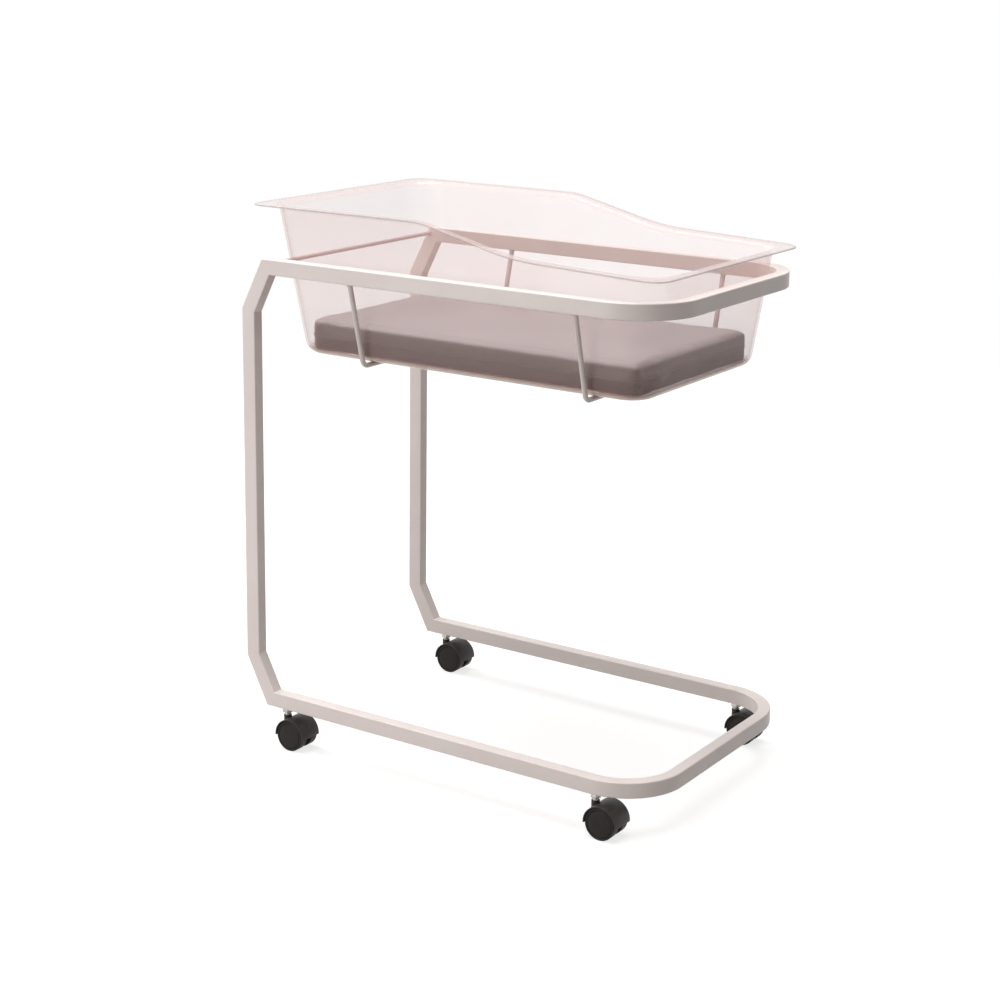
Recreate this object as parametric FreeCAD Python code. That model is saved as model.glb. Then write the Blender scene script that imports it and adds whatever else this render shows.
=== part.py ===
import FreeCAD, Part
import os
from math import atan2, cos, pi, radians, sin, sqrt, tan

V = FreeCAD.Vector

# Hospital bassinet on a C-shaped tube frame, in millimetres.
# +X points from the uprights (head end) to the open foot end, -Y is the near side, +Z is up.
# The floor is Z = 0 and the origin is under the middle of the frame.

# ---------------------------------------------------------------- frame sizes
frame_length = 760.0          # outer face of the uprights to the outer face of the foot bends
frame_width = 470.0           # over the outer faces of both sides
frame_rise = 740.0            # underside of the base rail to the top of the upper rail
tube_depth = 25.0             # tube size in the plane of each side frame
tube_width = 20.0             # tube size across the bassinet
tube_wall = 1.5
tube_edge_chamfer = 1.2       # bevel on the long edges
bend_radius = 100.0           # outer radius of the bends at the foot end
top_corner_run = 41.0         # slanting corner tubes, measured on the outer corners
top_corner_rise = 82.0
base_corner_run = 41.0
base_corner_rise = 79.0

head_rod_diameter = 7.0
head_rod_drop = 11.0          # rod centre below the top of the upper rail
head_rod_run = 41.0           # rod centre from the outer face of the uprights

hanger_diameter = 8.0
hanger_head_run = 208.0       # from the outer face of the uprights
hanger_foot_run = 148.0       # from the outer face of the foot bend
hanger_drop = 158.0           # centre of the cross bar below the top of the upper rail
hanger_lean = 34.0            # each leg leans inwards by this much on its way down
hanger_bend_radius = 14.0     # centre line

# --------------------------------------------------------------- caster sizes
caster_height = 64.0          # floor to the underside of the base rail
caster_head_run = 77.0        # stem axes, from the outer face of the uprights
caster_foot_run = 95.0        # from the outer face of the foot bend
wheel_diameter = 50.0
wheel_width = 15.5
wheel_disc = 2.6              # thickness of the outer disc past the bore
axle_diameter = 6.0
axle_end_gap = 0.4            # axle end to the disc inside the hub
web_thickness = 10.0
web_foot_radius = 10.0        # the web round the axle
trail = 19.0                  # stem axis to axle axis
hood_wall = 2.2
hood_gap = 0.9                # radial gap between tread and hood
hood_lip_drop = 2.0           # lip of the hood below the axle
side_gap = 0.5                # between the web and each wheel
boss_diameter = 13.0
boss_top = 53.0               # top of the boss above the floor
swivel_gap = 0.3              # between the boss and the shoulder of the stem
journal_diameter = 7.0
journal_bottom = 21.5         # lower end of the stem above the floor
stem_diameter = 10.0
stem_engagement = 12.0        # length of stem inside the insert
nut_across_flats = 15.0
nut_height = 6.0
insert_diameter = 14.0
insert_length = 15.0
running_clearance = 0.05      # radial
fixed_clearance = 0.02        # radial, between pieces screwed or pressed together

# ------------------------------------------------------------ tub and mattress
tub_wall = 3.0
tub_floor_inset_head = 40.0   # how far the walls draw in from the rim height to the floor
tub_floor_inset_foot = 31.0
tub_floor_inset_side = 20.0
tub_foot_clearance = 17.3     # tub wall to the inner faces of the upper rail, at its top
tub_side_clearance = 16.0
tub_corner_radius = 46.0
tub_floor_edge_radius = 18.0
head_rod_clearance = 1.0      # head wall of the tub to the head rod
rim_width_head = 21.5         # flange outside the wall
rim_width_side = 19.0
rim_width_foot = 21.0
rim_thickness = 3.0
rim_head_corner_radius = 24.0
rim_foot_corner_radius = 46.0
rim_head_rise = 83.0          # top of the rim above the top of the upper rail
rim_step_rise = 43.0          # at the lower end of the sloping step
rim_foot_rise = 33.0          # at the foot edge
step_start_run = 335.0        # ends of the sloping step, from the outer face of the uprights
step_end_run = 500.0
step_head_bend = 150.0        # radii where the rim turns down and where it levels out
step_foot_bend = 400.0
rim_root_radius = 8.0         # under the flange, where it meets the wall
seat_gap = 0.3                # tub above the hangers, mattress above the tub floor

mattress_thickness = 50.0
mattress_head_gap = 3.0       # to the walls of the tub
mattress_foot_gap = 11.0
mattress_side_gap = 8.0
mattress_head_corner_radius = 34.0
mattress_foot_corner_radius = 18.0
mattress_edge_bevel = 10.0

# ------------------------------------------------------------- derived places
x_head = -frame_length / 2
x_foot = frame_length / 2
half_width = frame_width / 2
z_base = caster_height
z_top = z_base + frame_rise
z_under_top = z_top - tube_depth
rail_y = half_width - tube_width / 2
hanger_z = z_top - hanger_drop
tub_bottom = hanger_z + hanger_diameter / 2 + seat_gap
rim_head_z = z_top + rim_head_rise
rim_step_z = z_top + rim_step_rise
rim_foot_z = z_top + rim_foot_rise
far_out = 2000.0              # longer than anything in the model, for cutting tools
overcut = 1.0                 # how far a drill runs past the faces it cuts
tiny = 1e-6                   # two lengths closer than this are the same


def export(name, shape):
    shape.exportStep("parts/" + name + ".step")


def polygon_face(points):
    return Part.Face(Part.makePolygon(points + [points[0]]))


def box(x0, x1, y0, y1, z0, z1):
    return Part.makeBox(x1 - x0, y1 - y0, z1 - z0, V(x0, y0, z0))


def cylinder_z(diameter, z0, z1, x=0.0, y=0.0):
    return Part.makeCylinder(diameter / 2, z1 - z0, V(x, y, z0))


def cylinder_y(diameter, y0, y1, x=0.0, z=0.0):
    return Part.makeCylinder(diameter / 2, y1 - y0, V(x, y0, z), V(0, 1, 0))


def mirrored_y(shape):
    return shape.mirror(V(0, 0, 0), V(0, 1, 0))


def rounded_line(points, radii):
    """Edges along points, with an arc of its own radius at each inner corner."""
    edges = []
    start = points[0]
    for before, corner, after, radius in zip(points, points[1:], points[2:], radii):
        back = (before - corner).normalize()
        ahead = (after - corner).normalize()
        half_turn = (pi - back.getAngle(ahead)) / 2
        setback = radius * tan(half_turn)
        arc_start = corner + back * setback
        arc_end = corner + ahead * setback
        middle = corner + (back + ahead).normalize() * (radius / cos(half_turn) - radius)
        edges.append(Part.LineSegment(start, arc_start).toShape())
        edges.append(Part.Arc(arc_start, middle, arc_end).toShape())
        start = arc_end
    if start.distanceToPoint(points[-1]) > tiny:
        edges.append(Part.LineSegment(start, points[-1]).toShape())
    return edges


# ------------------------------------------------- side frame in the XZ plane
def side_outline(offset):
    """Corners of the C-shaped side frame, moved inwards from its outer line by offset."""
    outer = [
        (x_foot, z_base),
        (x_head + base_corner_run, z_base),
        (x_head, z_base + base_corner_rise),
        (x_head, z_top - top_corner_rise),
        (x_head + top_corner_run, z_top),
        (x_foot, z_top),
    ]
    lines = []
    for (x0, z0), (x1, z1) in zip(outer, outer[1:]):
        length = sqrt((x1 - x0) ** 2 + (z1 - z0) ** 2)
        ux = (x1 - x0) / length
        uz = (z1 - z0) / length
        lines.append((x0 + uz * offset, z0 - ux * offset, ux, uz))
    corners = []
    for (ax, az, aux, auz), (bx, bz, bux, buz) in zip(lines, lines[1:]):
        cross = aux * buz - auz * bux
        t = ((bx - ax) * buz - (bz - az) * bux) / cross
        corners.append((ax + aux * t, az + auz * t))
    return corners


def mitred_tube(index):
    """Straight tube between two mitred corners of the side frame, on the near side."""
    def bar(inset):
        outer = side_outline(inset)
        inner = side_outline(tube_depth - inset)
        loop = [outer[index], outer[index + 1], inner[index + 1], inner[index]]
        face = polygon_face([V(x, -half_width + inset, z) for x, z in loop])
        return face.extrude(V(0, tube_width - 2 * inset, 0))

    solid = bar(0.0)
    start = side_outline(0.0)[index]
    end = side_outline(0.0)[index + 1]
    along = V(end[0] - start[0], 0, end[1] - start[1]).normalize()
    long_edges = [e for e in solid.Edges if abs(abs(e.tangentAt(e.FirstParameter).dot(along)) - 1) < tiny]
    solid = solid.makeChamfer(tube_edge_chamfer, long_edges)
    return solid.cut(bar(tube_wall))


def u_face(inset, x_open, z):
    """Plan outline of a bent U with its open end at x_open."""
    outer_y = half_width - inset
    inner_y = half_width - tube_width + inset
    outer_x = x_foot - inset
    inner_x = x_foot - tube_width + inset
    outer_r = bend_radius - inset
    inner_r = bend_radius - tube_width + inset
    turn = sqrt(0.5)

    def half_turn(xf, yf, r):
        near_mid = V(xf - r + r * turn, -yf + r - r * turn, z)
        far_mid = V(xf - r + r * turn, yf - r + r * turn, z)
        return [
            Part.LineSegment(V(x_open, -yf, z), V(xf - r, -yf, z)).toShape(),
            Part.Arc(V(xf - r, -yf, z), near_mid, V(xf, -yf + r, z)).toShape(),
            Part.LineSegment(V(xf, -yf + r, z), V(xf, yf - r, z)).toShape(),
            Part.Arc(V(xf, yf - r, z), far_mid, V(xf - r, yf, z)).toShape(),
            Part.LineSegment(V(xf - r, yf, z), V(x_open, yf, z)).toShape(),
        ]

    outer = half_turn(outer_x, outer_y, outer_r)
    inner = half_turn(inner_x, inner_y, inner_r)
    caps = [
        Part.LineSegment(V(x_open, outer_y, z), V(x_open, inner_y, z)).toShape(),
        Part.LineSegment(V(x_open, -inner_y, z), V(x_open, -outer_y, z)).toShape(),
    ]
    return Part.Face(Part.Wire(Part.__sortEdges__(outer + inner + caps)))


def rail_loop(z_low, corner_index):
    """Bent U of tube whose two ends are mitred where a corner tube meets it."""
    solid = u_face(0.0, x_head, z_low).extrude(V(0, 0, tube_depth))
    long_edges = []
    for edge in solid.Edges:
        flat = edge.BoundBox.ZLength < tiny
        at_end = edge.BoundBox.XLength < tiny and abs(edge.BoundBox.XMin - x_head) < tiny
        if flat and not at_end:
            long_edges.append(edge)
    solid = solid.makeChamfer(tube_edge_chamfer, long_edges)
    hollow = u_face(tube_wall, x_head, z_low + tube_wall).extrude(V(0, 0, tube_depth - 2 * tube_wall))
    loop = solid.cut(hollow)
    outer_x, outer_z = side_outline(0.0)[corner_index]
    inner_x, inner_z = side_outline(tube_depth)[corner_index]
    mitre = V(outer_x - inner_x, 0, outer_z - inner_z)
    past_outer = V(outer_x, -far_out, outer_z) + mitre
    past_inner = V(inner_x, -far_out, inner_z) - mitre
    away = V(far_out, 0, 0)
    cutter = polygon_face([past_outer, past_inner, past_inner - away, past_outer - away])
    return loop.cut(cutter.extrude(V(0, 2 * far_out, 0)))


def caster_places():
    """Stem axes by name."""
    return {
        "head_near": (x_head + caster_head_run, -rail_y),
        "head_far": (x_head + caster_head_run, rail_y),
        "foot_near": (x_foot - caster_foot_run, -rail_y),
        "foot_far": (x_foot - caster_foot_run, rail_y),
    }


def base_rail():
    loop = rail_loop(z_base, 0)
    hole_diameter = insert_diameter + 2 * fixed_clearance
    for x, y in caster_places().values():
        loop = loop.cut(cylinder_z(hole_diameter, z_base - overcut, z_base + tube_wall + overcut, x, y))
    return loop


def stem_inserts():
    inserts = []
    for x, y in caster_places().values():
        body = cylinder_z(insert_diameter, z_base, z_base + insert_length, x, y)
        bore_diameter = stem_diameter + 2 * fixed_clearance
        bore = cylinder_z(bore_diameter, z_base - overcut, z_base + insert_length + overcut, x, y)
        inserts.append(body.cut(bore))
    return Part.makeCompound(inserts)


def head_cross_rod():
    inner_y = half_width - tube_width
    return cylinder_y(head_rod_diameter, -inner_y, inner_y, x_head + head_rod_run, z_top - head_rod_drop)


def cradle_hanger(x):
    """Round rod from rail to rail, dipping under the tub."""
    corner_y = rail_y - hanger_lean
    leg = V(0, -hanger_lean, z_under_top - hanger_z).normalize()
    corner = V(x, -corner_y, hanger_z)
    top = V(x, -rail_y, z_under_top) + leg * hanger_diameter
    far_corner = V(x, corner_y, hanger_z)
    far_top = V(x, -top.y, top.z)
    bends = [hanger_bend_radius, hanger_bend_radius]
    path = Part.Wire(rounded_line([top, corner, far_corner, far_top], bends))
    ring = Part.Wire(Part.makeCircle(hanger_diameter / 2, top, -leg))
    rod = path.makePipeShell([ring], True, True)
    above = box(x - far_out, x + far_out, -far_out, far_out, z_under_top, z_under_top + far_out)
    return rod.cut(above)


# --------------------------------------------------------------------- caster
hood_inner = wheel_diameter / 2 + hood_gap
hood_outer = hood_inner + hood_wall
axle_z = wheel_diameter / 2
wheel_inner_y = web_thickness / 2 + side_gap
wheel_outer_y = wheel_inner_y + wheel_width
axle_half = wheel_outer_y - wheel_disc - axle_end_gap


def caster_stem():
    """Threaded shank, shoulder and the journal that the hood turns on, on the Z axis."""
    shank = cylinder_z(stem_diameter, boss_top + swivel_gap, z_base + stem_engagement)
    journal = cylinder_z(journal_diameter, journal_bottom, boss_top + swivel_gap)
    return shank.fuse(journal).removeSplitter()


def lock_nut():
    radius = nut_across_flats / 2 / cos(radians(30))
    corners = []
    for side in range(6):
        angle = radians(60 * side)
        corners.append(V(radius * cos(angle), radius * sin(angle), z_base - nut_height))
    prism = polygon_face(corners).extrude(V(0, 0, nut_height))
    bore = cylinder_z(stem_diameter + 2 * fixed_clearance, z_base - nut_height - overcut, z_base + overcut)
    return prism.cut(bore)


def caster_hood():
    """Moulded hood: canopy over both wheels, web between them and boss for the stem."""
    y_side = wheel_outer_y + side_gap
    y_web = web_thickness / 2
    upper = box(trail - far_out, trail + far_out, -far_out, far_out, axle_z - hood_lip_drop, far_out)
    round_outside = cylinder_y(2 * hood_outer, -y_side, y_side, trail, axle_z)
    wheel_space = cylinder_y(2 * hood_inner, -y_side - overcut, y_side + overcut, trail, axle_z)
    web_slice = box(-far_out, far_out, -y_web, y_web, 0, far_out)
    canopy = round_outside.cut(wheel_space).common(upper)
    web = round_outside.common(upper).common(web_slice)
    foot = cylinder_y(2 * web_foot_radius, -y_web, y_web, trail, axle_z)
    column = box(hood_wall - hood_outer + trail, trail, -y_web, y_web, journal_bottom - hood_wall, axle_z)
    column = column.common(round_outside)
    boss = cylinder_z(boss_diameter, axle_z, boss_top).cut(wheel_space)
    hood = canopy.multiFuse([web, foot, column, boss]).removeSplitter()
    journal_bore = journal_diameter + 2 * running_clearance
    hood = hood.cut(cylinder_z(journal_bore, journal_bottom - running_clearance, boss_top + overcut))
    axle_bore = axle_diameter + 2 * fixed_clearance
    return hood.cut(cylinder_y(axle_bore, -web_thickness, web_thickness, trail, axle_z))


def caster_axle():
    return cylinder_y(axle_diameter, -axle_half, axle_half, trail, axle_z)


def caster_wheel():
    """Wheel on the near side, revolved from one profile: tread, outer disc and blind bore."""
    radius = wheel_diameter / 2
    bore = axle_diameter / 2 + running_clearance
    inner = wheel_inner_y
    outer = wheel_outer_y
    disc = outer - wheel_disc
    profile = [(0.0, disc), (bore, disc), (bore, inner), (radius, inner), (radius, outer), (0.0, outer)]
    face = polygon_face([V(trail + r, -y, axle_z) for r, y in profile])
    return face.revolve(V(trail, 0, axle_z), V(0, 1, 0), 360)


# ------------------------------------------------------------------------ tub
# Walls draw in from the head rim height down to the floor; the foot end is lower.
wall_drop = rim_head_z - tub_bottom
rod_share = (rim_head_z - (z_top - head_rod_drop)) / wall_drop
rail_share = (rim_head_z - z_top) / wall_drop
foot_share = (rim_head_z - rim_foot_z) / wall_drop
tub_at_rod = x_head + head_rod_run + head_rod_diameter / 2 + head_rod_clearance
tub_top_x0 = tub_at_rod - tub_floor_inset_head * rod_share
tub_top_x1 = x_foot - tube_width - tub_foot_clearance + tub_floor_inset_foot * rail_share
tub_top_half_y = half_width - tube_width - tub_side_clearance + tub_floor_inset_side * rail_share
rim_x0 = tub_top_x0 - rim_width_head
rim_x1 = tub_top_x1 - tub_floor_inset_foot * foot_share + rim_width_foot
rim_half_y = tub_top_half_y + rim_width_side


def rounded_rectangle(x0, x1, half_y, head_radius, foot_radius, z):
    """Closed wire with its own corner radii at the head and at the foot end."""
    start = V(x0 + head_radius, -half_y, z)
    corners = [V(x1, -half_y, z), V(x1, half_y, z), V(x0, half_y, z), V(x0, -half_y, z)]
    radii = [foot_radius, foot_radius, head_radius, head_radius]
    return Part.Wire(rounded_line([start] + corners + [start], radii))


def tub_extent(inset, z):
    """Ends in X and half width in Y of the tub wall at height z, inset by a wall thickness."""
    share = (rim_head_z - z) / wall_drop
    x0 = tub_top_x0 + tub_floor_inset_head * share + inset
    x1 = tub_top_x1 - tub_floor_inset_foot * share - inset
    half_y = tub_top_half_y - tub_floor_inset_side * share - inset
    return x0, x1, half_y


def tub_block(inset, z_low, z_high):
    """Drafted block with rounded corners and a rounded floor edge."""
    low_x0, low_x1, low_y = tub_extent(inset, z_low)
    high_x0, high_x1, high_y = tub_extent(inset, z_high)
    wedge = Part.makeWedge(-low_y, z_low, low_x0, high_x0, -high_y, low_y, z_high, low_x1, high_x1, high_y)
    turned = FreeCAD.Matrix(0, 0, 1, 0, 1, 0, 0, 0, 0, 1, 0, 0, 0, 0, 0, 1)
    block = wedge.transformShape(turned, True)
    corners = [e for e in block.Edges if e.BoundBox.ZLength > tiny]
    block = block.makeFillet(tub_corner_radius - inset, corners)
    floor_edges = [e for e in block.Edges if e.BoundBox.ZMax < z_low + tiny]
    return block.makeFillet(tub_floor_edge_radius - inset, floor_edges)


def rim_line(z_shift, x0, x1):
    """Side view of the rim from x0 to x1: level head, sloping step and gently falling foot."""
    start = x_head + step_start_run
    end = x_head + step_end_run
    fall = (rim_step_z - rim_foot_z) / (rim_x1 - end)
    points = [
        V(x0, 0, rim_head_z + z_shift),
        V(start, 0, rim_head_z + z_shift),
        V(end, 0, rim_step_z + z_shift),
        V(x1, 0, rim_step_z - fall * (x1 - end) + z_shift),
    ]
    return rounded_line(points, [step_head_bend, step_foot_bend])


def below_rim(depth):
    """Everything from the rim line down by depth, across the whole tub."""
    x0 = rim_x0 - rim_width_head
    x1 = rim_x1 + rim_width_foot
    upper = rim_line(0.0, x0, x1)
    lower = rim_line(-depth, x0, x1)
    closing = [
        Part.LineSegment(upper[0].Vertexes[0].Point, lower[0].Vertexes[0].Point).toShape(),
        Part.LineSegment(upper[-1].Vertexes[-1].Point, lower[-1].Vertexes[-1].Point).toShape(),
    ]
    face = Part.Face(Part.Wire(Part.__sortEdges__(upper + lower + closing)))
    return face.translated(V(0, -far_out / 2, 0)).extrude(V(0, far_out, 0))


def rim_prism():
    """Vertical prism on the outline of the rim, with its own corner radii at head and foot."""
    radii = (rim_head_corner_radius, rim_foot_corner_radius)
    outline = rounded_rectangle(rim_x0, rim_x1, rim_half_y, *radii, tub_bottom)
    return Part.Face(outline).extrude(V(0, 0, rim_head_z - tub_bottom + rim_thickness))


def wall_to_flange_edges(shape, upward):
    """Edges where the tub wall meets the upper or the lower face of the flange."""
    walls = [face for face in shape.Faces if face.BoundBox.ZMin < z_top]
    wall_edges = [edge for face in walls for edge in face.Edges]
    found = []
    for face in shape.Faces:
        if face.BoundBox.ZMin < z_top:
            continue
        normal = face.normalAt(*face.Surface.parameter(face.CenterOfMass))
        if abs(normal.z) > 0.5 and (normal.z > 0) == upward:
            found += [edge for edge in face.Edges if any(edge.isSame(other) for other in wall_edges)]
    return found


def tub():
    """Drafted shell whose wall rolls over into one flange along the stepped rim."""
    over = rim_head_z + 2 * rim_thickness
    outer = tub_block(0.0, tub_bottom, over).common(below_rim(far_out / 2))
    inner = tub_block(tub_wall, tub_bottom + tub_wall, over)
    whole = outer.fuse(below_rim(rim_thickness).common(rim_prism())).removeSplitter()
    whole = whole.makeFillet(rim_root_radius, wall_to_flange_edges(whole, False))
    shell = whole.cut(inner)
    return shell.makeFillet(rim_root_radius + rim_thickness, wall_to_flange_edges(shell, True))


def mattress():
    z0 = tub_bottom + tub_wall + seat_gap
    wall_x0, wall_x1, wall_y = tub_extent(tub_wall, z0)
    x0 = wall_x0 + mattress_head_gap
    x1 = wall_x1 - mattress_foot_gap
    half_y = wall_y - mattress_side_gap
    radii = (mattress_head_corner_radius, mattress_foot_corner_radius)
    outline = rounded_rectangle(x0, x1, half_y, *radii, z0)
    pad = Part.Face(outline).extrude(V(0, 0, mattress_thickness))
    edges = [e for e in pad.Edges if e.BoundBox.ZLength < tiny]
    return pad.makeChamfer(mattress_edge_bevel, edges)


def main():
    os.makedirs("parts", exist_ok=True)
    export("base_rail_loop", base_rail())
    export("upper_rail_loop", rail_loop(z_under_top, 3))
    for name, index in (("base_corner", 0), ("post", 1), ("top_corner", 2)):
        near = mitred_tube(index)
        export(name + "_near", near)
        export(name + "_far", mirrored_y(near))
    export("head_cross_rod", head_cross_rod())
    export("cradle_hanger_head", cradle_hanger(x_head + hanger_head_run))
    export("cradle_hanger_foot", cradle_hanger(x_foot - hanger_foot_run))
    export("stem_inserts", stem_inserts())
    near_wheel = caster_wheel()
    pieces = {
        "stem": caster_stem(),
        "lock_nut": lock_nut(),
        "hood": caster_hood(),
        "axle": caster_axle(),
        "wheel_near": near_wheel,
        "wheel_far": mirrored_y(near_wheel),
    }
    for place, (x, y) in caster_places().items():
        for piece, shape in pieces.items():
            export("caster_" + place + "_" + piece, shape.translated(V(x, y, 0)))
    export("tub", tub())
    export("mattress", mattress())


main()
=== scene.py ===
from math import cos, pi, radians, sin, tan

import bmesh
import bpy
from mathutils import Matrix, Vector
from mathutils.bvhtree import BVHTree


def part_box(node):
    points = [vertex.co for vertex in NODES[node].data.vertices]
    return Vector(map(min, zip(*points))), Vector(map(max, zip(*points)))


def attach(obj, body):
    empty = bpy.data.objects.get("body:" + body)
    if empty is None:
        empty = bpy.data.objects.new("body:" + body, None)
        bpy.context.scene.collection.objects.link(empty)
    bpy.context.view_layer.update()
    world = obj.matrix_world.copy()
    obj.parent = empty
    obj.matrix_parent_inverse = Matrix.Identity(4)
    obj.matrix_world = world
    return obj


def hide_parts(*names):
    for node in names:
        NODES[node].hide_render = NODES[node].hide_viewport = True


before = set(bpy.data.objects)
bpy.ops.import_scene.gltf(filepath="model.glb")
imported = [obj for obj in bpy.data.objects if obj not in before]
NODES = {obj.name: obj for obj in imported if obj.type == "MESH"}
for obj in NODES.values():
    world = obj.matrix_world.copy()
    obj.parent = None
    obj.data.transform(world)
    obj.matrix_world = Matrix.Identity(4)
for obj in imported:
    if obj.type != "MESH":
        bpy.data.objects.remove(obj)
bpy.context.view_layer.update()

MM = 0.001
PLACES = ("head_near", "head_far", "foot_near", "foot_far")
WHITE = (1.0, 1.0, 1.0)
BLACK = (0.0, 0.0, 0.0)


# ------------------------------------------------------------ shader wording
class Value:
    """One output socket, with arithmetic that adds Math nodes."""

    def __init__(self, graph, socket):
        self.graph = graph
        self.socket = socket

    def math(self, operation, other):
        return self.graph.node("ShaderNodeMath", {"operation": operation}, {0: self, 1: other})

    def __add__(self, other):
        return self.math("ADD", other)

    __radd__ = __add__

    def __mul__(self, other):
        return self.math("MULTIPLY", other)

    __rmul__ = __mul__

    def __pow__(self, other):
        return self.math("POWER", other)


class Graph:
    """A node tree of a material, of the world or of Geometry Nodes; one method makes any node."""

    def __init__(self, tree):
        self.tree = tree
        self.tree.nodes.clear()

    def node(self, kind, settings=None, inputs=None, out=0):
        made = self.tree.nodes.new(kind)
        for key, value in (settings or {}).items():
            setattr(made, key, value)
        for key, value in (inputs or {}).items():
            socket = made.inputs[key]
            if isinstance(value, Value):
                self.tree.links.new(value.socket, socket)
            elif socket.type == "RGBA" and len(value) == 3:
                socket.default_value = (*value, 1.0)
            else:
                socket.default_value = value
        return Value(self, made.outputs[out])

    def end(self, kind, value, socket="Surface"):
        """Adds the output node of the tree and links the last value to it."""
        output = self.tree.nodes.new(kind)
        self.tree.links.new(value.socket, output.inputs[socket])

    def mix(self, share, first, second):
        """Colour between first and second."""
        inputs = {0: share, 6: first, 7: second}
        return self.node("ShaderNodeMix", {"data_type": "RGBA"}, inputs, out=2)

    def place(self):
        return self.node("ShaderNodeTexCoord", out="Object")

    def noise(self, scale, detail=3.0, rough=0.5):
        inputs = {"Vector": self.place(), "Scale": scale, "Detail": detail, "Roughness": rough}
        return self.node("ShaderNodeTexNoise", None, inputs)

    def waves(self, direction, scale):
        inputs = {"Vector": self.place(), "Scale": scale}
        return self.node("ShaderNodeTexWave", {"bands_direction": direction}, inputs, out="Fac")

    def ramp(self, value, low, high):
        """0 below low, 1 above high, smooth between."""
        inputs = {"Value": value, "From Min": low, "From Max": high}
        return self.node("ShaderNodeMapRange", {"interpolation_type": "SMOOTHSTEP"}, inputs)

    def bump(self, height, strength, distance):
        inputs = {"Height": height, "Strength": strength, "Distance": distance}
        return self.node("ShaderNodeBump", None, inputs, out="Normal")

    def attribute(self, name):
        return self.node("ShaderNodeAttribute", {"attribute_name": name}, out="Fac")

    def seen_rays(self):
        """1 for rays from the camera, a gloss or a clear piece, 0 for light that bounces."""
        camera = self.node("ShaderNodeLightPath", out="Is Camera Ray")
        glossy = self.node("ShaderNodeLightPath", out="Is Glossy Ray")
        through = self.node("ShaderNodeLightPath", out="Is Transmission Ray")
        return camera.math("MAXIMUM", glossy.math("MAXIMUM", through))


class Finish(Graph):
    """A material built from nodes."""

    def __init__(self, name):
        self.material = bpy.data.materials.new(name)
        self.material.use_nodes = True
        super().__init__(self.material.node_tree)

    def surface(self, **inputs):
        """Ends the material in a Principled shader; an underscore stands for a space."""
        named = {key.replace("_", " "): value for key, value in inputs.items()}
        shader = self.node("ShaderNodeBsdfPrincipled", None, named, out="BSDF")
        self.end("ShaderNodeOutputMaterial", shader)
        return self.material


def srgb(*levels):
    """Linear colour from 0-255 display levels."""
    shares = [level / 255 for level in levels]
    return tuple(s / 12.92 if s <= 0.04045 else ((s + 0.055) / 1.055) ** 2.4 for s in shares)


# ------------------------------------------------------------------ finishes
def powder_coat(name, light, dark):
    """Satin powder coat: fine orange peel, faint clouding and dull specks in the coat."""
    f = Finish(name)
    speck = srgb(150, 138, 132)
    clouds = f.ramp(f.noise(9.0, detail=4.0, rough=0.6), low=0.3, high=0.7)
    specks = f.ramp(f.noise(900.0, detail=1.0), low=0.70, high=0.78)
    peel = f.noise(520.0, detail=2.0, rough=0.45)
    return f.surface(Base_Color=f.mix(specks * 0.14, f.mix(clouds * 0.6, light, dark), speck),
                     Roughness=clouds * 0.06 + peel * 0.10 + 0.32,
                     Normal=f.bump(peel, strength=0.16, distance=0.4 * MM),
                     Coat_Weight=0.10, Coat_Roughness=0.25)


def zinc_plate():
    """Bright zinc on turned steel, with fine rings round the axis."""
    f = Finish("zinc_plate")
    bright, dull = srgb(206, 202, 198), srgb(150, 144, 140)
    haze = f.noise(160.0, detail=4.0, rough=0.6)
    rings = f.waves("Z", scale=250.0)
    return f.surface(Base_Color=f.mix(haze, bright, dull), Metallic=1.0,
                     Roughness=haze * 0.2 + 0.22,
                     Normal=f.bump(rings, strength=0.35, distance=0.3 * MM))


def caster_nylon():
    """Dark moulded nylon with a fine grain and rubbed lighter patches."""
    f = Finish("caster_nylon")
    moulded, rubbed = srgb(46, 39, 36), srgb(62, 54, 50)
    grain = f.noise(1400.0, detail=2.0, rough=0.6)
    rub = f.ramp(f.noise(60.0, detail=3.0, rough=0.6), low=0.45, high=0.75)
    return f.surface(Base_Color=f.mix(rub, moulded, rubbed),
                     Roughness=grain * 0.14 + rub * 0.08 + 0.34,
                     Normal=f.bump(grain, strength=0.22, distance=0.3 * MM),
                     Specular_IOR_Level=0.28)


def caster_tread():
    """Grey-black wheel plastic, a little dusty where it rolls."""
    f = Finish("caster_tread")
    clean, dusty = srgb(19, 14, 12), srgb(39, 30, 26)
    dust = f.ramp(f.noise(110.0, detail=4.0, rough=0.65), low=0.4, high=0.72)
    grain = f.noise(900.0, detail=2.0, rough=0.5)
    return f.surface(Base_Color=f.mix(dust * 0.6, clean, dusty), Roughness=dust * 0.16 + 0.46,
                     Normal=f.bump(grain, strength=0.25, distance=0.3 * MM),
                     Specular_IOR_Level=0.25)


def clear_plastic():
    """Clear moulded plastic with a warm tint that gathers in its bends and at a low angle."""
    f = Finish("clear_plastic")
    tint, thick, beige = (1.0, 0.67, 0.63), srgb(194, 184, 181), srgb(208, 186, 164)
    square_on = 0.105                # what the wall hides when it is seen square on
    bend = f.attribute("bend")
    base = f.attribute("base")
    slant = f.node("ShaderNodeLayerWeight", None, {"Blend": 0.32}, out="Facing")
    edge = slant ** 3.0
    haze = f.noise(14.0, detail=3.0, rough=0.5)
    ripple = f.noise(22.0, detail=2.0, rough=0.4)
    alpha = edge * 0.85 + bend * 0.40 + base * 0.50 + haze * 0.03 + square_on
    wall = f.mix(bend + edge * 1.5, tint, thick)
    return f.surface(Base_Color=f.mix(base * 0.9, wall, beige), Alpha=alpha,
                     Roughness=haze * 0.05 + 0.05,
                     Normal=f.bump(ripple, strength=0.10, distance=2 * MM))


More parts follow.
